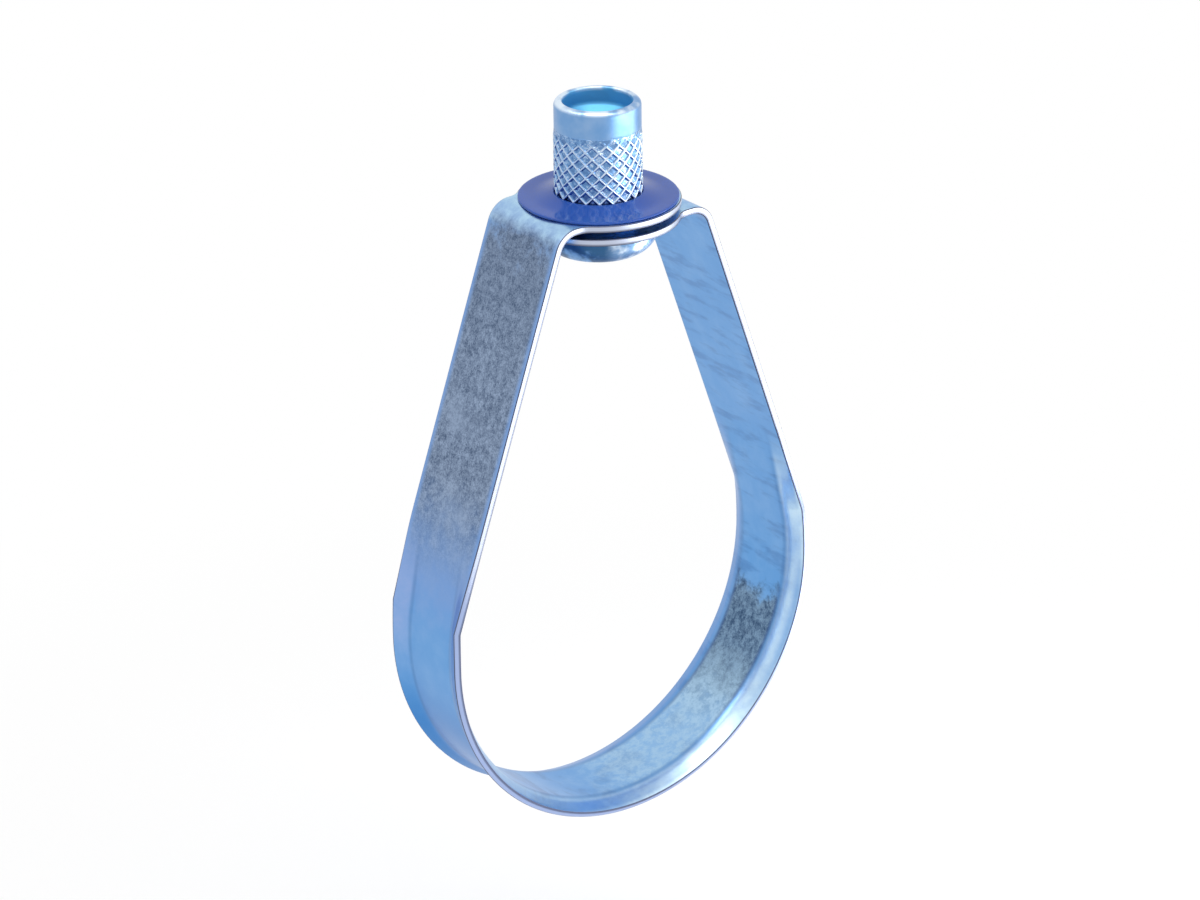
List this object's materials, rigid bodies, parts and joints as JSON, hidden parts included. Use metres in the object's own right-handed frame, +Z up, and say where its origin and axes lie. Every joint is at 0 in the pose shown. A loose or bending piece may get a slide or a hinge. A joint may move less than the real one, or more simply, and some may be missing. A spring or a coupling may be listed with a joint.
{
  "type": "loop hanger",
  "caption": "Teardrop strip-steel loop that carries a pipe under a threaded rod, with a captive knurled nut it swivels on.",
  "frame": {"origin": "on the pipe's axis, at the middle of the strip's width", "axes": "+Z up towards the rod, +Y along the pipe, +X to the leg whose tab is the lower one"},
  "size_m": [0.0664, 0.024, 0.1117],
  "materials": {
    "galvanised_strip": "hot-dip galvanised, fine mottled spangle fading to smooth bluish zinc",
    "plated_nut": "bright clear zinc plate, diamond knurl",
    "washer_plastic": "glossy dark blue"
  },
  "bodies": {
    "nut": {"swivel_nut": "plated_nut", "retaining_washer": "washer_plastic"},
    "loop": {"loop_band": "galvanised_strip"}
  },
  "joints": [
    {"name": "loop_swivel", "type": "hinge", "parent": "nut", "child": "loop", "pos_m": [0, 0, 0.06045], "axis": [0, 0, 1], "continuous": true}
  ]
}
